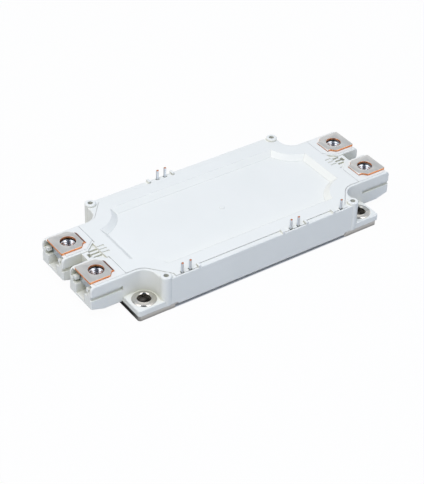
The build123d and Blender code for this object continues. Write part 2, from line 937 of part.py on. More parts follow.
def build_nodes():
    nodes = {}
    nodes["baseplate"] = make_baseplate()
    terminal = make_terminal()
    nut = make_nut()
    bush = make_bush()
    pins = [make_pin(x, side) for x, side in signal_rows()]
    adhesive = make_adhesive()
    nodes["housing_frame"] = make_frame(terminal, pins, adhesive)
    nodes["frame_adhesive"] = adhesive
    nodes["lid"] = make_lid()
    sunk = list(pins)
    for end_name, end in ends.items():
        for side_name, side in sides.items():
            place = f"{end_name}_{side_name}"
            nodes[f"power_terminal_{place}"] = mirrored(terminal, end, side)
            nodes[f"terminal_nut_{place}"] = mirrored(nut, end, side)
            nodes[f"mounting_bush_{place}"] = mirrored(bush, end, side)
            nodes[f"terminal_wires_{place}"] = terminal_wires(end, side)
            sunk.append(nodes[f"power_terminal_{place}"])
            sunk += nodes[f"terminal_wires_{place}"]
    for number, pin in enumerate(pins, 1):
        nodes[f"control_pin_{number}"] = pin

    centres = substrate_centres()
    for name, cx in zip(("left", "middle", "right"), centres):
        half_x = ceramic_length / 2
        half_y = ceramic_width / 2
        solder_x = half_x - solder_margin
        solder_y = half_y - solder_margin
        copper_x = copper_half_length
        copper_y = copper_width / 2
        pieces = {
            f"base_solder_{name}": block(
                cx - solder_x, cx + solder_x, -solder_y, solder_y, base_thickness, copper_bottom
            ),
            f"back_copper_{name}": block(
                cx - copper_x, cx + copper_x, -copper_y, copper_y, copper_bottom, ceramic_bottom
            ),
            f"ceramic_plate_{name}": block(
                cx - half_x, cx + half_x, -half_y, half_y, ceramic_bottom, track_bottom
            ),
        }
        nodes.update(pieces)
        sunk += pieces.values()
        nodes[f"copper_tracks_{name}"] = make_tracks(cx)
        nodes[f"chip_wires_{name}"] = chip_wires(cx)
        sunk += nodes[f"copper_tracks_{name}"] + nodes[f"chip_wires_{name}"]

    number = 0
    for cx in centres:
        for row in ("high_side", "phase"):
            number += 1
            y = chip_row(row)
            igbt = make_chip(cx + igbt_offset, y, igbt_length, igbt_width)
            diode = make_chip(cx + diode_offset, y, diode_length, diode_width)
            nodes[f"igbt_chip_{number}"] = igbt
            nodes[f"diode_chip_{number}"] = diode
            sunk += [igbt, diode]

    nodes["temperature_sensor"] = make_sensor(centres[0])
    nodes["control_wires"] = control_wires()
    nodes["bridge_wires_left"] = bridge_wires(centres[0])
    nodes["bridge_wires_right"] = bridge_wires(centres[1])
    sunk.append(nodes["temperature_sensor"])
    for name in ("control_wires", "bridge_wires_left", "bridge_wires_right"):
        sunk += nodes[name]
    nodes["silicone_gel"] = make_gel(sunk)
    return nodes


def main():
    os.makedirs("parts", exist_ok=True)
    for name, shape in build_nodes().items():
        if isinstance(shape, list):
            shape = Compound(children=shape)
        export_step(shape, f"parts/{name}.step")


main()
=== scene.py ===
import math

import bmesh
import bpy
from mathutils import Matrix, Vector


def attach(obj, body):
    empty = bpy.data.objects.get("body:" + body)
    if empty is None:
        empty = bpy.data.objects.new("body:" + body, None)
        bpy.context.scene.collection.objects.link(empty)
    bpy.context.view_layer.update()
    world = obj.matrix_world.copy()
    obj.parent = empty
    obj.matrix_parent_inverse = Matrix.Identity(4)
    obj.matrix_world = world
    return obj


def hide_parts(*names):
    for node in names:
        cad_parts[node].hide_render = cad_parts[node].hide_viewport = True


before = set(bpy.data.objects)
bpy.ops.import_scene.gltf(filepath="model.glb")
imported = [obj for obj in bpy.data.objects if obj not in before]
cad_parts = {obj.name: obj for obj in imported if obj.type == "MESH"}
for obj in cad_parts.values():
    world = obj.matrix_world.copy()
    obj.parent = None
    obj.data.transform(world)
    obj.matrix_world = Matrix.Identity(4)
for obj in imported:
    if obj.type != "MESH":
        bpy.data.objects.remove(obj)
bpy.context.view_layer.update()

MM = 0.001

# The photograph's camera, in degrees and millimetres
CAMERA_AZIMUTH = -35.951
CAMERA_ELEVATION = 37.095
CAMERA_ROLL = 2.097
CAMERA_DISTANCE = 629.16
CAMERA_SIDE = -3.822
CAMERA_RISE = -3.431
CAMERA_LENS = 109.268

# Places are (x, y, share of a half turn) in millimetres, and heights are from the baseplate's bottom

# Mounting bushes, with radii from their own axis
MOUNT_X = 55.0
MOUNT_Y = 25.0
BUSH_PLACES = [(x, y, 0) for x in (-MOUNT_X, MOUNT_X) for y in (-MOUNT_Y, MOUNT_Y)]
BUSH_BORE = 2.75
BUSH_BODY = 3.7
BUSH_FLANGE = 5.1
BUSH_BOTTOM = 0.1
BUSH_SHOULDER = 5.7
BUSH_TOP = 6.2
BUSH_LIP = 6.45
BUSH_MOUTH = 0.38
BUSH_LIP_WIDTH = 0.95
BUSH_BEVEL = 0.4
BUSH_RIM = 0.14
BUSH_FOOT = 0.2
BUSH_CREST = 0.05

# Terminals and their square M6 nuts, with distances from the nut's own axis
TERMINAL_PLACES = [(x, y, int(x > 0)) for x in (-68.5, 68.5) for y in (-11, 11)]
TERMINAL_PLATE_BOTTOM = 16.0
TERMINAL_BEND = 6.3
TERMINAL_BEND_RADIUS = 1.25
TERMINAL_TOP = 17.0
TERMINAL_ROUNDING = 0.08
NUT_SEAT = 10.4
NUT_FLATS = 10.0
NUT_HEIGHT = 5.0
NUT_EDGE = 0.4
NUT_CORNER = 0.5
NUT_CORE = 2.5
NUT_THREAD = 0.4
NUT_PITCH = 1.0
NUT_SINK = 0.6

# Control pins, by the middle of each post; the back ones are turned round
PIN_PLACES = [(x, -29.7, 0) for x in (-40.1, -36.29, 13.8, 17.61, 40.2)]
PIN_PLACES += [(x, 29.7, 1) for x in (-13.3, -9.49)]
PIN_TIP_START = 20.0
PIN_ROUNDING = 0.12

# The degrees that an edge turns by before it is rounded, and before its shading stays sharp
ROUNDED_ANGLE = 30
CREASE_ANGLE = 40

# A face looks sideways with more than this much of its normal along Y, and stands upright with
# less than this much of it along Z
SIDEWAYS = 0.7
UPRIGHT = 0.5


def linear(colour):
    """An sRGB hex colour as linear red, green, blue and alpha."""
    channels = [int(colour[place : place + 2], 16) / 255 for place in (1, 3, 5)]
    return (*[c / 12.92 if c <= 0.04045 else ((c + 0.055) / 1.055) ** 2.4 for c in channels], 1.0)


def per(size):
    """How often a pattern of this size in millimetres repeats in a metre."""
    return 1.0 / (size * MM)


def add(tree, kind, inputs=None, **settings):
    """Adds a node with its settings; each input is a value, or a socket to link from.
    A Mix node's inputs go by number: 0 is the share, 2 and 3 its numbers, 6 and 7 its colours."""
    node = tree.nodes.new(kind)
    for name, value in settings.items():
        setattr(node, name, value)
    for name, value in (inputs or {}).items():
        if isinstance(value, bpy.types.NodeSocket):
            tree.links.new(value, node.inputs[name])
        else:
            node.inputs[name].default_value = value
    return node


def material(name):
    """A new material; returns it with its empty tree."""
    made = bpy.data.materials.new(name)
    made.use_nodes = True
    made.node_tree.nodes.clear()
    return made, made.node_tree


def moulded_pbt():
    """Glass filled PBT, injection moulded against a spark eroded steel: an even off-white with a
    very fine grain and a broad dull sheen. Outer edges get a painted highlight, inner corners a
    thin line of painted shade, and recesses a painted olive shade that deepens as they close in."""
    made, tree = material("moulded_pbt")
    place = add(tree, "ShaderNodeTexCoord").outputs["Object"]
    # Flow of the resin, in clouds of about 18 mm
    flow = add(
        tree, "ShaderNodeTexNoise", {"Vector": place, "Scale": per(18), "Detail": 2.0}
    ).outputs["Fac"]
    resin = add(
        tree, "ShaderNodeMix", {0: flow, 6: linear("#EAE9DB"), 7: linear("#EFEDE0")}, data_type="RGBA"
    ).outputs[2]
    edge = add(tree, "ShaderNodeBevel", {"Radius": 0.25 * MM}, samples=6).outputs["Normal"]
    face = add(tree, "ShaderNodeNewGeometry").outputs["True Normal"]
    along = add(
        tree, "ShaderNodeVectorMath", {0: edge, 1: face}, operation="DOT_PRODUCT"
    ).outputs["Value"]
    edge_highlight_share = add(
        tree,
        "ShaderNodeMapRange",
        {"Value": along, "From Min": 0.97, "From Max": 0.8, "To Min": 0.0, "To Max": 0.7},
    ).outputs["Result"]
    # Painted highlight on outer edges only: seen from inside the plastic, just those close in
    inside = add(
        tree, "ShaderNodeAmbientOcclusion", {"Distance": 0.4 * MM}, samples=8, inside=True
    ).outputs["AO"]
    outer = add(
        tree, "ShaderNodeMapRange", {"Value": inside, "From Min": 0.95, "From Max": 0.7}
    ).outputs["Result"]
    painted_edge_highlight = add(tree, "ShaderNodeMath", {0: edge_highlight_share, 1: outer}, operation="MULTIPLY").outputs["Value"]
    edge_highlighted = add(
        tree, "ShaderNodeMix", {0: painted_edge_highlight, 6: resin, 7: linear("#FDFDF8")}, data_type="RGBA"
    ).outputs[2]
    # Inner corners get painted shade, as a thin dark line
    inner = add(
        tree,
        "ShaderNodeMapRange",
        {"Value": inside, "From Min": 0.9, "From Max": 1.0, "To Min": 0.0, "To Max": 0.6},
    ).outputs["Result"]
    corner = add(
        tree, "ShaderNodeMapRange", {"Value": along, "From Min": 0.998, "From Max": 0.99}
    ).outputs["Result"]
    painted_crease_shade = add(tree, "ShaderNodeMath", {0: inner, 1: corner}, operation="MULTIPLY").outputs["Value"]
    crease_shaded = add(
        tree, "ShaderNodeMix", {0: painted_crease_shade, 6: edge_highlighted, 7: linear("#BDBCAE")}, data_type="RGBA"
    ).outputs[2]
    # Painted shade: recesses turn olive as they get less open
    shelter = add(tree, "ShaderNodeAmbientOcclusion", {"Distance": 7 * MM}, samples=8).outputs["AO"]
    openness = add(
        tree, "ShaderNodeMapRange", {"Value": shelter, "From Min": 0.1, "From Max": 0.72}
    ).outputs["Result"]
    colour = add(
        tree, "ShaderNodeMix", {0: openness, 6: linear("#C6C5B0"), 7: crease_shaded}, data_type="RGBA"
    ).outputs[2]
    # The spark grain is about 0.05 mm; drawn at 0.4 mm so that it shows
    grain = add(
        tree, "ShaderNodeTexNoise", {"Vector": place, "Scale": per(0.4), "Detail": 3.0}
    ).outputs["Fac"]
    sheen = add(
        tree,
        "ShaderNodeMapRange",
        {"Value": grain, "From Min": 0.3, "From Max": 0.7, "To Min": 0.36, "To Max": 0.46},
    ).outputs["Result"]
    bump = add(
        tree, "ShaderNodeBump", {"Height": grain, "Strength": 0.1, "Distance": 0.04 * MM, "Normal": edge}
    ).outputs["Normal"]
    shader = add(
        tree,
        "ShaderNodeBsdfPrincipled",
        {"Base Color": colour, "Roughness": sheen, "IOR": 1.52, "Normal": bump},
    ).outputs["BSDF"]
    add(tree, "ShaderNodeOutputMaterial", {"Surface": shader})
    return made


def nickel_plated_copper():
    """Rolled copper plate with a satin nickel plating: warm grey, drawn out along the rolling in
    faint streaks, with cloudy patches from the bath."""
    made, tree = material("nickel_plated_copper")
    place = add(tree, "ShaderNodeTexCoord").outputs["Object"]
    stretched = add(
        tree, "ShaderNodeMapping", {"Vector": place, "Scale": (0.06, 1.0, 1.0)}
    ).outputs["Vector"]
    rolling = add(
        tree, "ShaderNodeTexNoise", {"Vector": stretched, "Scale": per(0.5), "Detail": 3.0}
    ).outputs["Fac"]
    patches = add(
        tree, "ShaderNodeTexNoise", {"Vector": place, "Scale": per(9), "Detail": 3.0}
    ).outputs["Fac"]
    colour = add(
        tree, "ShaderNodeMix", {0: patches, 6: linear("#C9C7C4"), 7: linear("#D8D7D6")}, data_type="RGBA"
    ).outputs[2]
    gloss = add(
        tree,
        "ShaderNodeMapRange",
        {"Value": rolling, "From Min": 0.3, "From Max": 0.7, "To Min": 0.26, "To Max": 0.4},
    ).outputs["Result"]
    bump = add(
        tree, "ShaderNodeBump", {"Height": rolling, "Strength": 0.15, "Distance": 0.03 * MM}
    ).outputs["Normal"]
    shader = add(
        tree,
        "ShaderNodeBsdfPrincipled",
        {"Base Color": colour, "Metallic": 1.0, "Roughness": gloss, "Normal": bump},
    ).outputs["BSDF"]
    add(tree, "ShaderNodeOutputMaterial", {"Surface": shader})
    return made


def punched_terminal_copper():
    """Copper strip, nickel plated and then punched: flat grey faces with a dull brushed look, and
    bare orange copper with a rough break wherever the punch cut through."""
    made, tree = material("punched_terminal_copper")
    place = add(tree, "ShaderNodeTexCoord").outputs["Object"]
    bare = add(tree, "ShaderNodeAttribute", attribute_name="bare").outputs["Fac"]
    stretched = add(
        tree, "ShaderNodeMapping", {"Vector": place, "Scale": (1.0, 0.08, 1.0)}
    ).outputs["Vector"]
    brush = add(
        tree, "ShaderNodeTexNoise", {"Vector": stretched, "Scale": per(0.35), "Detail": 2.0}
    ).outputs["Fac"]
    plated = add(
        tree, "ShaderNodeMix", {0: brush, 6: linear("#D6D4D1"), 7: linear("#E6E5E3")}, data_type="RGBA"
    ).outputs[2]
    # The punch leaves a bright sheared band and a duller broken one
    break_line = add(
        tree, "ShaderNodeTexNoise", {"Vector": place, "Scale": per(0.9), "Detail": 3.0}
    ).outputs["Fac"]
    torn = add(
        tree, "ShaderNodeMapRange", {"Value": break_line, "From Min": 0.35, "From Max": 0.65}
    ).outputs["Result"]
    copper = add(
        tree, "ShaderNodeMix", {0: torn, 6: linear("#EC9156"), 7: linear("#FFBC8A")}, data_type="RGBA"
    ).outputs[2]
    cut = add(tree, "ShaderNodeMix", {0: bare, 6: plated, 7: copper}, data_type="RGBA").outputs[2]
    # On the left the outside of the bend is painted dark brown, as painted shade in the gap behind it; on
    # the right only a low line of bare copper shows
    bent_face = add(tree, "ShaderNodeAttribute", attribute_name="bent").outputs["Fac"]
    right_end = add(tree, "ShaderNodeAttribute", attribute_name="turned").outputs["Fac"]
    height = add(tree, "ShaderNodeSeparateXYZ", {"Vector": place}).outputs["Z"]
    low = add(
        tree, "ShaderNodeMapRange", {"Value": height, "From Min": 16.5 * MM, "From Max": 16.35 * MM}
    ).outputs["Result"]
    reach = add(tree, "ShaderNodeMix", {0: right_end, 2: 1.0, 3: low}, data_type="FLOAT").outputs[0]
    bend_shade_and_copper_share = add(tree, "ShaderNodeMath", {0: bent_face, 1: reach}, operation="MULTIPLY").outputs["Value"]
    bend_shade_and_copper = add(
        tree,
        "ShaderNodeMix",
        {0: right_end, 6: linear("#7A4C3C"), 7: linear("#C07A50")},
        data_type="RGBA",
    ).outputs[2]
    colour = add(tree, "ShaderNodeMix", {0: bend_shade_and_copper_share, 6: cut, 7: bend_shade_and_copper}, data_type="RGBA").outputs[2]
    gloss = add(
        tree,
        "ShaderNodeMapRange",
        {"Value": brush, "From Min": 0.3, "From Max": 0.7, "To Min": 0.32, "To Max": 0.44},
    ).outputs["Result"]
    bump = add(
        tree, "ShaderNodeBump", {"Height": brush, "Strength": 0.12, "Distance": 0.02 * MM}
    ).outputs["Normal"]
    shader = add(
        tree,
        "ShaderNodeBsdfPrincipled",
        {"Base Color": colour, "Metallic": 1.0, "Roughness": gloss, "Normal": bump},
    ).outputs["BSDF"]
    add(tree, "ShaderNodeOutputMaterial", {"Surface": shader})
    return made


def zinc_plated_steel():
    """Cold formed steel nut with a bright blue passivated zinc plating: cool and shiny, a little
    uneven, so its thread flashes and its flats mirror what is near."""
    made, tree = material("zinc_plated_steel")
    place = add(tree, "ShaderNodeTexCoord").outputs["Object"]
    tone = add(
        tree, "ShaderNodeTexNoise", {"Vector": place, "Scale": per(2.5), "Detail": 3.0}
    ).outputs["Fac"]
    colour = add(
        tree, "ShaderNodeMix", {0: tone, 6: linear("#C3CAD6"), 7: linear("#DADFE6")}, data_type="RGBA"
    ).outputs[2]
    gloss = add(
        tree,
        "ShaderNodeMapRange",
        {"Value": tone, "From Min": 0.3, "From Max": 0.7, "To Min": 0.22, "To Max": 0.34},
    ).outputs["Result"]
    shader = add(
        tree, "ShaderNodeBsdfPrincipled", {"Base Color": colour, "Metallic": 1.0, "Roughness": gloss}
    ).outputs["BSDF"]
    add(tree, "ShaderNodeOutputMaterial", {"Surface": shader})
    return made


def turned_nickel_plated_steel():
    """Steel bush, turned and nickel plated: warm grey with fine rings from the cutting tool, and
    shiny enough for its bevels to flash."""
    made, tree = material("turned_nickel_plated_steel")
    own = add(tree, "ShaderNodeAttribute", attribute_name="own_place").outputs["Vector"]
    axes = add(tree, "ShaderNodeSeparateXYZ", {"Vector": own})
    flat = add(
        tree, "ShaderNodeCombineXYZ", {"X": axes.outputs["X"], "Y": axes.outputs["Y"]}
    ).outputs["Vector"]
    reach = add(tree, "ShaderNodeVectorMath", {0: flat}, operation="LENGTH").outputs["Value"]
    ring_place = add(tree, "ShaderNodeCombineXYZ", {"X": reach, "Z": axes.outputs["Z"]}).outputs["Vector"]
    # The tool's feed is about 0.1 mm; drawn at 0.25 mm so that it shows
    rings = add(
        tree, "ShaderNodeTexNoise", {"Vector": ring_place, "Scale": per(0.25), "Detail": 1.0}
    ).outputs["Fac"]
    colour = add(
        tree, "ShaderNodeMix", {0: rings, 6: linear("#CFCBC5"), 7: linear("#E6E3DE")}, data_type="RGBA"
    ).outputs[2]
    bump = add(
        tree, "ShaderNodeBump", {"Height": rings, "Strength": 0.15, "Distance": 0.03 * MM}
    ).outputs["Normal"]
    gloss = add(
        tree,
        "ShaderNodeMapRange",
        {"Value": rings, "From Min": 0.3, "From Max": 0.7, "To Min": 0.1, "To Max": 0.2},
    ).outputs["Result"]
    shader = add(
        tree,
        "ShaderNodeBsdfPrincipled",
        {"Base Color": colour, "Metallic": 1.0, "Roughness": gloss, "Normal": bump},
    ).outputs["BSDF"]
    add(tree, "ShaderNodeOutputMaterial", {"Surface": shader})
    return made


def tinned_pin_copper():
    """Drawn copper wire, tinned and then cropped: silvery white with drawing lines along the
    post, and a bare copper tip where the crop cut it."""
    made, tree = material("tinned_pin_copper")
    place = add(tree, "ShaderNodeTexCoord").outputs["Object"]
    bare = add(tree, "ShaderNodeAttribute", attribute_name="bare").outputs["Fac"]
    stretched = add(
        tree, "ShaderNodeMapping", {"Vector": place, "Scale": (1.0, 1.0, 0.05)}
    ).outputs["Vector"]
    lines = add(
        tree, "ShaderNodeTexNoise", {"Vector": stretched, "Scale": per(0.2), "Detail": 2.0}
    ).outputs["Fac"]
    tin = add(
        tree, "ShaderNodeMix", {0: lines, 6: linear("#C4CAD3"), 7: linear("#DEE3EA")}, data_type="RGBA"
    ).outputs[2]
    colour = add(
        tree, "ShaderNodeMix", {0: bare, 6: tin, 7: linear("#B5714E")}, data_type="RGBA"
    ).outputs[2]
    gloss = add(
        tree,
        "ShaderNodeMapRange",
        {"Value": lines, "From Min": 0.3, "From Max": 0.7, "To Min": 0.25, "To Max": 0.38},
    ).outputs["Result"]
    shader = add(
        tree, "ShaderNodeBsdfPrincipled", {"Base Color": colour, "Metallic": 1.0, "Roughness": gloss}
    ).outputs["BSDF"]
    add(tree, "ShaderNodeOutputMaterial", {"Surface": shader})
    return made


def reflowed_solder():
    """Tin silver solder, reflowed in vacuum: dull grey with a frosted crystal pattern."""
    made, tree = material("reflowed_solder")
    place = add(tree, "ShaderNodeTexCoord").outputs["Object"]
    frost = add(tree, "ShaderNodeTexVoronoi", {"Vector": place, "Scale": per(1.2)}).outputs["Distance"]
    tone = add(
        tree, "ShaderNodeMix", {0: frost, 6: linear("#A9ABAD"), 7: linear("#C2C4C6")}, data_type="RGBA"
    ).outputs[2]
    shader = add(
        tree, "ShaderNodeBsdfPrincipled", {"Base Color": tone, "Metallic": 1.0, "Roughness": 0.5}
    ).outputs["BSDF"]
    add(tree, "ShaderNodeOutputMaterial", {"Surface": shader})
    return made


def etched_copper():
    """Copper foil bonded to ceramic and etched: pink orange, matte, with large crystal grains."""
    made, tree = material("etched_copper")
    place = add(tree, "ShaderNodeTexCoord").outputs["Object"]
    # Bonding grows grains of about a millimetre
    grains = add(tree, "ShaderNodeTexVoronoi", {"Vector": place, "Scale": per(1.0)}).outputs["Color"]
    tone = add(tree, "ShaderNodeSeparateColor", {"Color": grains})
    colour = add(
        tree,
        "ShaderNodeMix",
        {0: tone.outputs["Red"], 6: linear("#D08A66"), 7: linear("#E3A27E")},
        data_type="RGBA",
    ).outputs[2]
    gloss = add(
        tree, "ShaderNodeMapRange", {"Value": tone.outputs["Green"], "To Min": 0.32, "To Max": 0.45}
    ).outputs["Result"]
    shader = add(
        tree, "ShaderNodeBsdfPrincipled", {"Base Color": colour, "Metallic": 1.0, "Roughness": gloss}
    ).outputs["BSDF"]
    add(tree, "ShaderNodeOutputMaterial", {"Surface": shader})
    return made


def fired_alumina():
    """Alumina plate, tape cast and fired: chalk white and dull, with fine specks."""
    made, tree = material("fired_alumina")
    place = add(tree, "ShaderNodeTexCoord").outputs["Object"]
    speck = add(
        tree, "ShaderNodeTexNoise", {"Vector": place, "Scale": per(0.3), "Detail": 4.0}
    ).outputs["Fac"]
    colour = add(
        tree, "ShaderNodeMix", {0: speck, 6: linear("#E9E7E0"), 7: linear("#F3F2EE")}, data_type="RGBA"
    ).outputs[2]
    bump = add(
        tree, "ShaderNodeBump", {"Height": speck, "Strength": 0.1, "Distance": 0.01 * MM}
    ).outputs["Normal"]
    shader = add(
        tree,
        "ShaderNodeBsdfPrincipled",
        {"Base Color": colour, "Roughness": 0.6, "IOR": 1.76, "Normal": bump},
    ).outputs["BSDF"]
    add(tree, "ShaderNodeOutputMaterial", {"Surface": shader})
    return made


def metallised_silicon():
    """Silicon chip with sputtered aluminium on top: pale mirror grey, parted into cell strips by
    dark gate runners."""
    made, tree = material("metallised_silicon")
    place = add(tree, "ShaderNodeTexCoord").outputs["Object"]
    # Gate runners every 2.5 mm; a wave of scale 1 repeats ten times in a length of pi
    cells = add(
        tree,
        "ShaderNodeTexWave",
        {"Vector": place, "Scale": per(2.5) * math.pi / 10},
        bands_direction="X",
    ).outputs["Fac"]
    strips = add(
        tree, "ShaderNodeMapRange", {"Value": cells, "From Min": 0.03, "From Max": 0.1}
    ).outputs["Result"]
    colour = add(
        tree, "ShaderNodeMix", {0: strips, 6: linear("#5C5F66"), 7: linear("#C9CCD2")}, data_type="RGBA"
    ).outputs[2]
    shader = add(
        tree, "ShaderNodeBsdfPrincipled", {"Base Color": colour, "Metallic": 1.0, "Roughness": 0.22}
    ).outputs["BSDF"]
    add(tree, "ShaderNodeOutputMaterial", {"Surface": shader})
    return made


def drawn_aluminium():
    """Soft pure aluminium, drawn and then rolled flat: bright satin with faint lines along X."""
    made, tree = material("drawn_aluminium")
    place = add(tree, "ShaderNodeTexCoord").outputs["Object"]
    stretched = add(
        tree, "ShaderNodeMapping", {"Vector": place, "Scale": (0.1, 1.0, 1.0)}
    ).outputs["Vector"]
    lines = add(
        tree, "ShaderNodeTexNoise", {"Vector": stretched, "Scale": per(0.2), "Detail": 2.0}
    ).outputs["Fac"]
    gloss = add(
        tree,
        "ShaderNodeMapRange",
        {"Value": lines, "From Min": 0.3, "From Max": 0.7, "To Min": 0.2, "To Max": 0.34},
    ).outputs["Result"]
    shader = add(
        tree,
        "ShaderNodeBsdfPrincipled",
        {"Base Color": linear("#E3E4E5"), "Metallic": 1.0, "Roughness": gloss},
    ).outputs["BSDF"]
    add(tree, "ShaderNodeOutputMaterial", {"Surface": shader})
    return made


def fired_thermistor():
    """Metal oxide, pressed and fired: black and dull, with a fine speckle."""
    made, tree = material("fired_thermistor")
    place = add(tree, "ShaderNodeTexCoord").outputs["Object"]
    speck = add(
        tree, "ShaderNodeTexNoise", {"Vector": place, "Scale": per(0.2), "Detail": 3.0}
    ).outputs["Fac"]
    colour = add(
        tree, "ShaderNodeMix", {0: speck, 6: linear("#2B2B2D"), 7: linear("#3C3C3F")}, data_type="RGBA"
    ).outputs[2]
    shader = add(
        tree, "ShaderNodeBsdfPrincipled", {"Base Color": colour, "Roughness": 0.5}
    ).outputs["BSDF"]
    add(tree, "ShaderNodeOutputMaterial", {"Surface": shader})
    return made


def cured_silicone_gel():
    """Silicone gel, poured and cured: clear, faintly milky, with a slow ripple on its top."""
    made, tree = material("cured_silicone_gel")
    place = add(tree, "ShaderNodeTexCoord").outputs["Object"]
    ripple = add(
        tree, "ShaderNodeTexNoise", {"Vector": place, "Scale": per(12), "Detail": 1.0}
    ).outputs["Fac"]
    bump = add(
        tree, "ShaderNodeBump", {"Height": ripple, "Strength": 0.2, "Distance": 0.2 * MM}
    ).outputs["Normal"]
    shader = add(
        tree,
        "ShaderNodeBsdfPrincipled",
        {
            "Base Color": linear("#EEF0EA"),
            "Roughness": 0.12,
            "IOR": 1.41,
            "Transmission Weight": 0.8,
            "Normal": bump,
        },
    ).outputs["BSDF"]
    add(tree, "ShaderNodeOutputMaterial", {"Surface": shader})
    return made


def cured_silicone_bead():
    """Silicone adhesive, laid as a bead and cured: milky grey, rubbery, slightly lumpy."""
    made, tree = material("cured_silicone_bead")
    place = add(tree, "ShaderNodeTexCoord").outputs["Object"]
    lumps = add(
        tree, "ShaderNodeTexNoise", {"Vector": place, "Scale": per(1.5), "Detail": 2.0}
    ).outputs["Fac"]
    bump = add(
        tree, "ShaderNodeBump", {"Height": lumps, "Strength": 0.3, "Distance": 0.1 * MM}
    ).outputs["Normal"]
    shader = add(
        tree,
        "ShaderNodeBsdfPrincipled",
        {"Base Color": linear("#D4D4CC"), "Roughness": 0.55, "IOR": 1.41, "Normal": bump},
    ).outputs["BSDF"]
    add(tree, "ShaderNodeOutputMaterial", {"Surface": shader})
    return made


def mesh_object(name, mesh):
    """An object for a mesh, linked into the scene."""
    made = bpy.data.objects.new(name, mesh)
    bpy.context.scene.collection.objects.link(made)
    return made


def settle(source, name):
    """A plain mesh object in place of one with modifiers, which is removed."""
    depsgraph = bpy.context.evaluated_depsgraph_get()
    mesh = bpy.data.meshes.new_from_object(source.evaluated_get(depsgraph))
    bpy.data.objects.remove(source)
    mesh.name = name
    return mesh_object(name, mesh)


def smooth(mesh, crease):
    """Smooth shading, kept sharp where two faces meet at more than this many degrees."""
    mesh.polygons.foreach_set("use_smooth", [True] * len(mesh.polygons))
    mesh.set_sharp_from_angle(angle=math.radians(crease))


def ringed_mesh(name, rings, crease):
    """A closed mesh from rings of points; the last ring joins the first."""
    shape = bmesh.new()
    rows = [[shape.verts.new(Vector(point) * MM) for point in ring] for ring in rings]
    count = len(rows[0])
    for place, row in enumerate(rows):
        after = rows[(place + 1) % len(rows)]
        for column in range(count):
            beside = (column + 1) % count
            shape.faces.new((row[column], row[beside], after[beside], after[column]))
    bmesh.ops.recalc_face_normals(shape, faces=shape.faces)
    mesh = bpy.data.meshes.new(name)
    shape.to_mesh(mesh)
    shape.free()
    own = mesh.attributes.new("own_place", "FLOAT_VECTOR", "POINT")
    own.data.foreach_set("vector", [value for vertex in mesh.vertices for value in vertex.co])
    smooth(mesh, crease)
    return mesh


def arc(centre_r, centre_z, radius, start, stop, steps):
    """Points of a rounded corner of a turned profile, as (radius, height)."""
    turns = [math.radians(start + (stop - start) * step / steps) for step in range(steps + 1)]
    return [(centre_r + radius * math.cos(t), centre_z + radius * math.sin(t)) for t in turns]


def bush_mesh():
    """A turned bush: bore with a bevelled mouth in a low lip, bevelled flange and a plain body."""
    foot = BUSH_BOTTOM + BUSH_FOOT
    rim = BUSH_FLANGE - BUSH_RIM
    bevel = BUSH_FLANGE - BUSH_BEVEL
    mouth = BUSH_BORE + BUSH_MOUTH
    profile = [(BUSH_BORE, foot), (BUSH_BORE + BUSH_FOOT, BUSH_BOTTOM)]
    profile += [(BUSH_BODY - BUSH_FOOT, BUSH_BOTTOM), (BUSH_BODY, foot)]
    profile += [(BUSH_BODY, BUSH_SHOULDER), (rim, BUSH_SHOULDER)]
    profile += arc(rim, BUSH_SHOULDER + BUSH_RIM, BUSH_RIM, -90, 0, 3)[1:]
    profile += [(bevel + BUSH_CREST, BUSH_TOP - BUSH_CREST), (bevel - BUSH_CREST, BUSH_TOP)]
    profile += [(BUSH_BORE + BUSH_LIP_WIDTH, BUSH_TOP), (mouth + 2 * BUSH_CREST, BUSH_LIP)]
    profile += [(mouth, BUSH_LIP - BUSH_CREST / 2), (BUSH_BORE + BUSH_CREST / 2, BUSH_LIP - BUSH_MOUTH)]
    profile += [(BUSH_BORE, BUSH_LIP - BUSH_MOUTH - 2 * BUSH_CREST)]
    columns = 96
    turns = [2 * math.pi * column / columns for column in range(columns)]
    rings = [[(r * math.cos(t), r * math.sin(t), z) for t in turns] for r, z in profile]
    return ringed_mesh("bush", rings, CREASE_ANGLE)


def square_reach(half, corner, turn):
    """How far out a square with rounded corners reaches in one direction."""
    turn = abs((turn + math.pi / 4) % (math.pi / 2) - math.pi / 4)
    straight = half - corner
    if math.tan(turn) <= straight / half:
        return half / math.cos(turn)
    middle = straight * math.sqrt(2)
    off = math.pi / 4 - turn
    return middle * math.cos(off) + math.sqrt(corner**2 - (middle * math.sin(off)) ** 2)


def nut_mesh():
    """A square nut with rounded corners, a bevelled top and a cut thread under its countersink."""
    columns = 120
    steps = 12
    half = NUT_FLATS / 2
    turns = [2 * math.pi * column / columns for column in range(columns)]
    wide = [square_reach(half, NUT_CORNER, turn) for turn in turns]
    narrow = [square_reach(half - NUT_EDGE, NUT_CORNER, turn) for turn in turns]
    rings = [
        list(zip(narrow, [0.0] * columns)),
        list(zip(wide, [NUT_EDGE / 2] * columns)),
        list(zip(wide, [NUT_HEIGHT - NUT_EDGE] * columns)),
        list(zip(narrow, [NUT_HEIGHT] * columns)),
    ]
    rows = round(NUT_HEIGHT / NUT_PITCH * steps)
    for row in range(rows, -1, -1):
        height = NUT_HEIGHT * row / rows
        ring = []
        for column in range(columns):
            phase = (height / NUT_PITCH - column / columns) % 1.0
            thread = NUT_CORE + NUT_THREAD * (1 - abs(2 * phase - 1))
            sunk = NUT_CORE + NUT_SINK - (NUT_HEIGHT - height)
            ring.append((max(thread, sunk), height))
        rings.append(ring)
    solid = []
    for ring in rings:
        points = zip(ring, turns)
        solid.append([(r * math.cos(t), r * math.sin(t), z + NUT_SEAT) for (r, z), t in points])
    return ringed_mesh("nut", solid, crease=35)


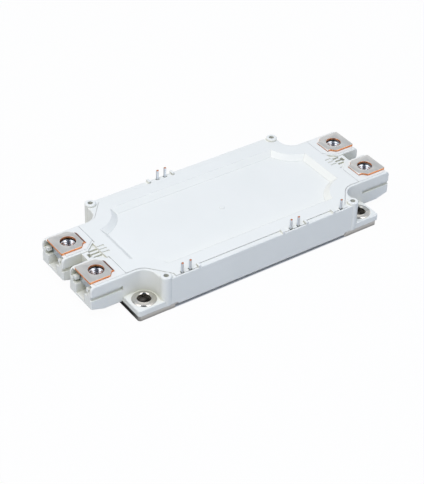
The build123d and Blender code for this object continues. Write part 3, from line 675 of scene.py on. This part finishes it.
def bevelled_copy(node, name, centre, rounding, bend=None):
    """A merged copy of a CAD node, moved so that the centre is at the origin, with rounded edges
    and the terminal's larger round where the bend test says."""
    shape = bmesh.new()
    shape.from_mesh(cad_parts[node].data)
    bmesh.ops.remove_doubles(shape, verts=shape.verts, dist=0.002 * MM)
    bmesh.ops.dissolve_limit(shape, angle_limit=math.radians(1), verts=shape.verts, edges=shape.edges)
    bmesh.ops.translate(shape, verts=shape.verts, vec=-Vector((centre[0], centre[1], 0.0)) * MM)
    if bend:
        corner = [edge for edge in shape.edges if bend(edge)]
        radius = TERMINAL_BEND_RADIUS * MM
        bmesh.ops.bevel(shape, geom=corner, offset=radius, segments=8, profile=0.5, affect="EDGES")
    mesh = bpy.data.meshes.new(name)
    shape.to_mesh(mesh)
    shape.free()
    copy = mesh_object(name, mesh)
    edges = copy.modifiers.new("rounding", "BEVEL")
    edges.width = rounding * MM
    edges.segments = 2
    edges.limit_method = "ANGLE"
    edges.angle_limit = math.radians(ROUNDED_ANGLE)
    return settle(copy, name)


def mark_faces(mesh, name, chosen):
    """Stores 1 on each face that the test chooses, and 0 on the others."""
    marks = mesh.attributes.new(name, "FLOAT", "FACE")
    values = [float(chosen(face.center / MM, face.normal)) for face in mesh.polygons]
    marks.data.foreach_set("value", values)


def sheared(centre, normal):
    """Whether the punch cut this face of a terminal: its flanks, its end and its hole."""
    flank = abs(normal.y) > SIDEWAYS
    before_bend = centre.x < TERMINAL_BEND - TERMINAL_BEND_RADIUS
    plate = before_bend and centre.z > TERMINAL_PLATE_BOTTOM + 0.05
    return flank or (plate and abs(normal.z) < UPRIGHT)


def bent(centre, normal):
    """Whether this face of a terminal is the outside of its bend, painted dark brown as shade on the left
    and with a low copper line on the right.
    """
    past_bend = centre.x > TERMINAL_BEND - TERMINAL_BEND_RADIUS
    return past_bend and normal.x > 0.1 and abs(normal.y) < SIDEWAYS


def on_bend_edge(edge):
    """Whether an edge of a terminal is the outer corner of its bend."""
    corner = Vector((TERMINAL_BEND, TERMINAL_TOP))
    return all((vertex.co.xz / MM - corner).length < 0.01 for vertex in edge.verts)


def cropped(centre, normal):
    """Whether this face of a pin is its cropped tip."""
    return centre.z > PIN_TIP_START and normal.z > 0.3


def copies_tree():
    """A node tree that sets a copy of a piece at each point, turned as the point says."""
    tree = bpy.data.node_groups.new("copies_at_points", "GeometryNodeTree")
    sockets = (
        ("Points", "NodeSocketGeometry"),
        ("Piece", "NodeSocketObject"),
        ("Turn", "NodeSocketFloat"),
        ("Finish", "NodeSocketMaterial"),
    )
    for name, kind in sockets:
        tree.interface.new_socket(name, in_out="INPUT", socket_type=kind)
    tree.interface.new_socket("Copies", in_out="OUTPUT", socket_type="NodeSocketGeometry")
    given = add(tree, "NodeGroupInput")
    share = add(
        tree, "GeometryNodeInputNamedAttribute", {"Name": "turn"}, data_type="FLOAT"
    ).outputs["Attribute"]
    turn = add(
        tree, "ShaderNodeMath", {0: share, 1: given.outputs["Turn"]}, operation="MULTIPLY"
    ).outputs["Value"]
    about = add(tree, "ShaderNodeCombineXYZ", {"Z": turn}).outputs["Vector"]
    source = add(tree, "GeometryNodeObjectInfo", {"Object": given.outputs["Piece"]}).outputs["Geometry"]
    placed = add(
        tree,
        "GeometryNodeInstanceOnPoints",
        {"Points": given.outputs["Points"], "Instance": source, "Rotation": about},
    ).outputs["Instances"]
    kept = add(
        tree,
        "GeometryNodeStoreNamedAttribute",
        {"Geometry": placed, "Name": "turned", "Value": share},
        data_type="FLOAT",
        domain="INSTANCE",
    ).outputs["Geometry"]
    real = add(tree, "GeometryNodeRealizeInstances", {"Geometry": kept}).outputs["Geometry"]
    coated = add(
        tree, "GeometryNodeSetMaterial", {"Geometry": real, "Material": given.outputs["Finish"]}
    ).outputs["Geometry"]
    add(tree, "NodeGroupOutput", {"Copies": coated})
    return tree


def set_copies(tree, name, piece, places, coat, nodes):
    """One mesh of all the copies of a piece, in place of its CAD nodes."""
    mesh = bpy.data.meshes.new(name)
    mesh.from_pydata([(x * MM, y * MM, 0.0) for x, y, _ in places], [], [])
    turns = mesh.attributes.new("turn", "FLOAT", "POINT")
    turns.data.foreach_set("value", [float(turn) for *_, turn in places])
    points = mesh_object(name, mesh)
    spread = points.modifiers.new("copies", "NODES")
    spread.node_group = tree
    given = {item.name: item.identifier for item in tree.interface.items_tree if item.in_out == "INPUT"}
    spread[given["Piece"]] = piece
    spread[given["Turn"]] = math.pi
    spread[given["Finish"]] = coat
    made = settle(points, name)
    bpy.data.objects.remove(piece)
    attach(made, "root")
    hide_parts(*nodes)


def clad(prefix, coat):
    """Gives one material to each part whose name starts with the prefix."""
    for name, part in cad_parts.items():
        if name.startswith(prefix):
            part.data.materials.clear()
            part.data.materials.append(coat)


def toward_camera():
    """The direction from the object to the photograph's camera."""
    azimuth = math.radians(CAMERA_AZIMUTH)
    elevation = math.radians(CAMERA_ELEVATION)
    level = Vector((math.sin(azimuth), -math.cos(azimuth), 0.0))
    return math.cos(elevation) * level + math.sin(elevation) * Vector((0.0, 0.0, 1.0))


def set_camera():
    """The photograph's camera, from its bearing, height and roll."""
    azimuth = math.radians(CAMERA_AZIMUTH)
    roll = math.radians(CAMERA_ROLL)
    back = toward_camera()
    level = Vector((math.cos(azimuth), math.sin(azimuth), 0.0))
    rise = back.cross(level)
    right = math.cos(roll) * level + math.sin(roll) * rise
    up = math.cos(roll) * rise - math.sin(roll) * level
    where = (CAMERA_SIDE * right + CAMERA_RISE * up + CAMERA_DISTANCE * back) * MM
    camera = bpy.data.objects.new("camera", bpy.data.cameras.new("camera"))
    bpy.context.scene.collection.objects.link(camera)
    camera.data.sensor_width = 36.0
    camera.data.lens = CAMERA_LENS
    camera.data.clip_start = 0.01
    camera.matrix_world = Matrix.Translation(where) @ Matrix((right, up, back)).transposed().to_4x4()
    bpy.context.scene.camera = camera


def set_world():
    """Two studios in one. What lights the object is even, stronger from above and behind, and
    bluish from the right front. What the camera and the reflections see is white, with a dark
    upright shape between two softboxes on the side that the photograph was taken from. That side
    is fixed in the room, and stays where it is in other views."""
    world = bpy.data.worlds.new("studio")
    bpy.context.scene.world = world
    world.use_nodes = True
    tree = world.node_tree
    tree.nodes.clear()
    heading = add(tree, "ShaderNodeTexCoord").outputs["Generated"]
    axes = add(tree, "ShaderNodeSeparateXYZ", {"Vector": heading})
    near_side = toward_camera()
    bearing = Vector((near_side.x, near_side.y, 0.0)).normalized()

    # High up on the far side the studio is grey
    toward = add(
        tree, "ShaderNodeVectorMath", {0: heading, 1: near_side}, operation="DOT_PRODUCT"
    ).outputs["Value"]
    away = add(
        tree, "ShaderNodeMapRange", {"Value": toward, "From Min": 0.4, "From Max": 0.1}
    ).outputs["Result"]
    climb = add(
        tree, "ShaderNodeMapRange", {"Value": axes.outputs["Z"], "From Min": 0.3, "From Max": 0.6}
    ).outputs["Result"]
    greyness = add(tree, "ShaderNodeMath", {0: climb, 1: away}, operation="MULTIPLY").outputs["Value"]
    dome = add(
        tree, "ShaderNodeMix", {0: greyness, 6: linear("#FFFFFF"), 7: linear("#CDD1D5")}, data_type="RGBA"
    ).outputs[2]

    # The dark shape is about 75 degrees wide, and a softbox fills what is left on each side of it
    flat = add(
        tree, "ShaderNodeVectorMath", {0: heading, 1: (1.0, 1.0, 0.0)}, operation="MULTIPLY"
    ).outputs["Vector"]
    level = add(tree, "ShaderNodeVectorMath", {0: flat}, operation="NORMALIZE").outputs["Vector"]
    facing = add(
        tree, "ShaderNodeVectorMath", {0: level, 1: bearing}, operation="DOT_PRODUCT"
    ).outputs["Value"]
    figure = add(
        tree, "ShaderNodeMapRange", {"Value": facing, "From Min": 0.77, "From Max": 0.83}
    ).outputs["Result"]
    studio = add(
        tree, "ShaderNodeMix", {0: figure, 6: dome, 7: linear("#1C2834")}, data_type="RGBA"
    ).outputs[2]
    softboxes = add(
        tree,
        "ShaderNodeMapRange",
        {"Value": facing, "From Min": 0.15, "From Max": 0.4, "To Min": 1.0, "To Max": 2.4},
    ).outputs["Result"]
    shown = add(
        tree, "ShaderNodeBackground", {"Color": studio, "Strength": softboxes}
    ).outputs["Background"]

    # The light's tint runs from the right front to the left back, and its strength up and back
    across = add(
        tree, "ShaderNodeVectorMath", {0: heading, 1: (-0.8, 0.6, 0.0)}, operation="DOT_PRODUCT"
    ).outputs["Value"]
    warmth = add(
        tree, "ShaderNodeMapRange", {"Value": across, "From Min": -0.8, "From Max": 0.9}
    ).outputs["Result"]
    tint = add(
        tree, "ShaderNodeMix", {0: warmth, 6: linear("#A6C2F0"), 7: linear("#F2F2F2")}, data_type="RGBA"
    ).outputs[2]
    depth = add(
        tree,
        "ShaderNodeMapRange",
        {"Value": axes.outputs["Y"], "From Min": -1.0, "From Max": 1.0, "To Min": 0.4, "To Max": 0.78},
    ).outputs["Result"]
    height = add(
        tree, "ShaderNodeMapRange", {"Value": axes.outputs["Z"], "To Min": 0.82, "To Max": 1.25}
    ).outputs["Result"]
    strength = add(tree, "ShaderNodeMath", {0: depth, 1: height}, operation="MULTIPLY").outputs["Value"]
    even = add(tree, "ShaderNodeBackground", {"Color": tint, "Strength": strength}).outputs["Background"]

    path = add(tree, "ShaderNodeLightPath")
    mirrored = add(
        tree,
        "ShaderNodeMath",
        {0: path.outputs["Is Glossy Ray"], 1: path.outputs["Is Transmission Ray"]},
        operation="MAXIMUM",
    ).outputs["Value"]
    seen = add(
        tree, "ShaderNodeMath", {0: path.outputs["Is Camera Ray"], 1: mirrored}, operation="MAXIMUM"
    ).outputs["Value"]
    mixed = add(tree, "ShaderNodeMixShader", {0: seen, 1: even, 2: shown}).outputs["Shader"]
    add(tree, "ShaderNodeOutputWorld", {"Surface": mixed})


def set_floor():
    """A white floor that keeps a faint shadow. Mirrors see it white far out and, near the object, a
    painted shade: grey beside it and under it, and almost black close to its ends."""
    reach = 4.0
    height = -0.02 * MM
    turns = ((-1, -1), (1, -1), (1, 1), (-1, 1))
    corners = [(x * reach, y * reach, height) for x, y in turns]
    mesh = bpy.data.meshes.new("floor")
    mesh.from_pydata(corners, [], [(0, 1, 2, 3)])
    floor = mesh_object("floor", mesh)
    made, tree = material("white_floor")
    mesh.materials.append(made)
    place = add(tree, "ShaderNodeTexCoord").outputs["Object"]
    out = add(tree, "ShaderNodeVectorMath", {0: place}, operation="ABSOLUTE").outputs["Vector"]
    axes = add(tree, "ShaderNodeSeparateXYZ", {"Vector": out})

    # Each band lies across X or Y between two distances in millimetres, and has a level before the
    # first of them and one past the second
    bands = {
        "past end": ("X", 66.0, 82.0, 0.015, 0.55),
        "past side": ("Y", 30.5, 32.0, 0.0, 0.68),
        "towards corner": ("Y", 24.5, 32.0, 0.0, 0.4),
        "inside end": ("X", 60.9, 60.6, 0.0, 0.6),
        "inside side": ("Y", 30.1, 29.8, 0.0, 1.0),
        "clear of end": ("X", 46.0, 47.0, 0.0, 0.97),
        "clear of side": ("Y", 30.0, 30.6, 0.0, 0.97),
    }
    level = {}
    for name, (axis, start, stop, before, after) in bands.items():
        level[name] = add(
            tree,
            "ShaderNodeMapRange",
            {
                "Value": axes.outputs[axis],
                "From Min": start * MM,
                "From Max": stop * MM,
                "To Min": before,
                "To Max": after,
            },
        ).outputs["Result"]
    from_bore = add(
        tree,
        "ShaderNodeVectorMath",
        {0: out, 1: Vector((MOUNT_X, MOUNT_Y, 0.0)) * MM},
        operation="DISTANCE",
    ).outputs["Value"]
    past_bore = add(
        tree, "ShaderNodeMapRange", {"Value": from_bore, "From Min": 3.0 * MM, "From Max": 3.4 * MM}
    ).outputs["Result"]

    # What mirrors see, with painted shade near the object. The baseplate's ends mirror the floor
    # darker in the middle than at a corner, and its underside sees grey, but the bush bores are dark
    past_edge = add(
        tree, "ShaderNodeMath", {0: level["past end"], 1: level["past side"]}, operation="MAXIMUM"
    ).outputs["Value"]
    beside = add(
        tree, "ShaderNodeMath", {0: past_edge, 1: level["towards corner"]}, operation="MAXIMUM"
    ).outputs["Value"]
    covered = add(
        tree, "ShaderNodeMath", {0: level["inside end"], 1: level["inside side"]}, operation="MULTIPLY"
    ).outputs["Value"]
    under = add(tree, "ShaderNodeMath", {0: covered, 1: past_bore}, operation="MULTIPLY").outputs["Value"]
    near = add(tree, "ShaderNodeMath", {0: beside, 1: under}, operation="MAXIMUM").outputs["Value"]
    distance = add(tree, "ShaderNodeVectorMath", {0: place}, operation="LENGTH").outputs["Value"]
    far = add(
        tree, "ShaderNodeMapRange", {"Value": distance, "From Min": 110 * MM, "From Max": 300 * MM}
    ).outputs["Result"]
    mirror_level_with_painted_shade = add(tree, "ShaderNodeMix", {0: far, 2: near, 3: 1.0}, data_type="FLOAT").outputs[0]
    path = add(tree, "ShaderNodeLightPath")
    mirrored = add(
        tree,
        "ShaderNodeMath",
        {0: path.outputs["Is Glossy Ray"], 1: path.outputs["Is Transmission Ray"]},
        operation="MAXIMUM",
    ).outputs["Value"]
    brightness = add(
        tree, "ShaderNodeMix", {0: mirrored, 2: 1.0, 3: mirror_level_with_painted_shade}, data_type="FLOAT"
    ).outputs[0]

    # Seen directly it is white, but for the shade under the frame's long walls and in the bores
    clear = add(
        tree, "ShaderNodeMath", {0: level["clear of side"], 1: level["clear of end"]}, operation="MAXIMUM"
    ).outputs["Value"]
    whiteness = add(
        tree, "ShaderNodeMath", {0: clear, 1: past_bore}, operation="MULTIPLY"
    ).outputs["Value"]
    straight = add(
        tree, "ShaderNodeMath", {0: path.outputs["Is Camera Ray"], 1: whiteness}, operation="MULTIPLY"
    ).outputs["Value"]
    share = add(tree, "ShaderNodeMath", {0: straight, 1: mirrored}, operation="MAXIMUM").outputs["Value"]
    lit = add(tree, "ShaderNodeBsdfDiffuse", {"Color": linear("#CFD2D6")}).outputs["BSDF"]
    white = add(tree, "ShaderNodeEmission", {"Strength": brightness}).outputs["Emission"]
    mixed = add(tree, "ShaderNodeMixShader", {0: share, 1: lit, 2: white}).outputs["Shader"]

    # From below it isn't there, so that the underside can be looked at
    beneath = add(tree, "ShaderNodeNewGeometry").outputs["Backfacing"]
    clear_pane = add(tree, "ShaderNodeBsdfTransparent").outputs["BSDF"]
    sided = add(tree, "ShaderNodeMixShader", {0: beneath, 1: mixed, 2: clear_pane}).outputs["Shader"]
    add(tree, "ShaderNodeOutputMaterial", {"Surface": sided})


def lamp(name, where, size, power, colour):
    """A square lamp that looks at the object, with its place and size in millimetres. Reflections
    show the studio and not the lamp."""
    data = bpy.data.lights.new(name, "AREA")
    data.size = size * MM
    data.energy = power
    data.color = linear(colour)[:3]
    made = bpy.data.objects.new(name, data)
    made.visible_glossy = False
    made.location = Vector(where) * MM
    made.rotation_euler = (-made.location).to_track_quat("-Z", "Y").to_euler()
    bpy.context.scene.collection.objects.link(made)


def named(prefix):
    """The names of the CAD nodes that start with the prefix."""
    return [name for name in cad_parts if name.startswith(prefix)]


def main():
    """Sets the stage, coats the CAD nodes and puts finished copies in place of the bushes, nuts, pins
    and terminals."""
    bpy.context.scene.view_settings.view_transform = "Standard"
    set_camera()
    set_world()
    set_floor()
    lamp("key", where=(-430, -440, 1220), size=900, power=16.0, colour="#EAEDFD")

    plastic = moulded_pbt()
    copper = etched_copper()
    silicon = metallised_silicon()
    aluminium = drawn_aluminium()
    coats = {
        "housing_frame": plastic,
        "lid": plastic,
        "baseplate": nickel_plated_copper(),
        "frame_adhesive": cured_silicone_bead(),
        "silicone_gel": cured_silicone_gel(),
        "base_solder": reflowed_solder(),
        "back_copper": copper,
        "copper_tracks": copper,
        "ceramic_plate": fired_alumina(),
        "igbt_chip": silicon,
        "diode_chip": silicon,
        "temperature_sensor": fired_thermistor(),
        "chip_wires": aluminium,
        "bridge_wires": aluminium,
        "terminal_wires": aluminium,
        "control_wires": aluminium,
    }
    for prefix, coat in coats.items():
        clad(prefix, coat)

    tree = copies_tree()
    bush = mesh_object("bush", bush_mesh())
    finish = turned_nickel_plated_steel()
    set_copies(tree, "mounting_bushes", bush, BUSH_PLACES, finish, named("mounting_bush"))

    nut = mesh_object("nut", nut_mesh())
    finish = zinc_plated_steel()
    set_copies(tree, "terminal_nuts", nut, TERMINAL_PLACES, finish, named("terminal_nut"))

    pin = bevelled_copy("control_pin_1", "pin", PIN_PLACES[0], PIN_ROUNDING)
    mark_faces(pin.data, "bare", cropped)
    smooth(pin.data, CREASE_ANGLE)
    finish = tinned_pin_copper()
    set_copies(tree, "control_pins", pin, PIN_PLACES, finish, named("control_pin"))

    strip = bevelled_copy(
        "power_terminal_left_front", "strip", TERMINAL_PLACES[0], TERMINAL_ROUNDING, bend=on_bend_edge
    )
    mark_faces(strip.data, "bare", sheared)
    mark_faces(strip.data, "bent", bent)
    smooth(strip.data, CREASE_ANGLE)
    finish = punched_terminal_copper()
    set_copies(tree, "power_terminals", strip, TERMINAL_PLACES, finish, named("power_terminal"))


main()
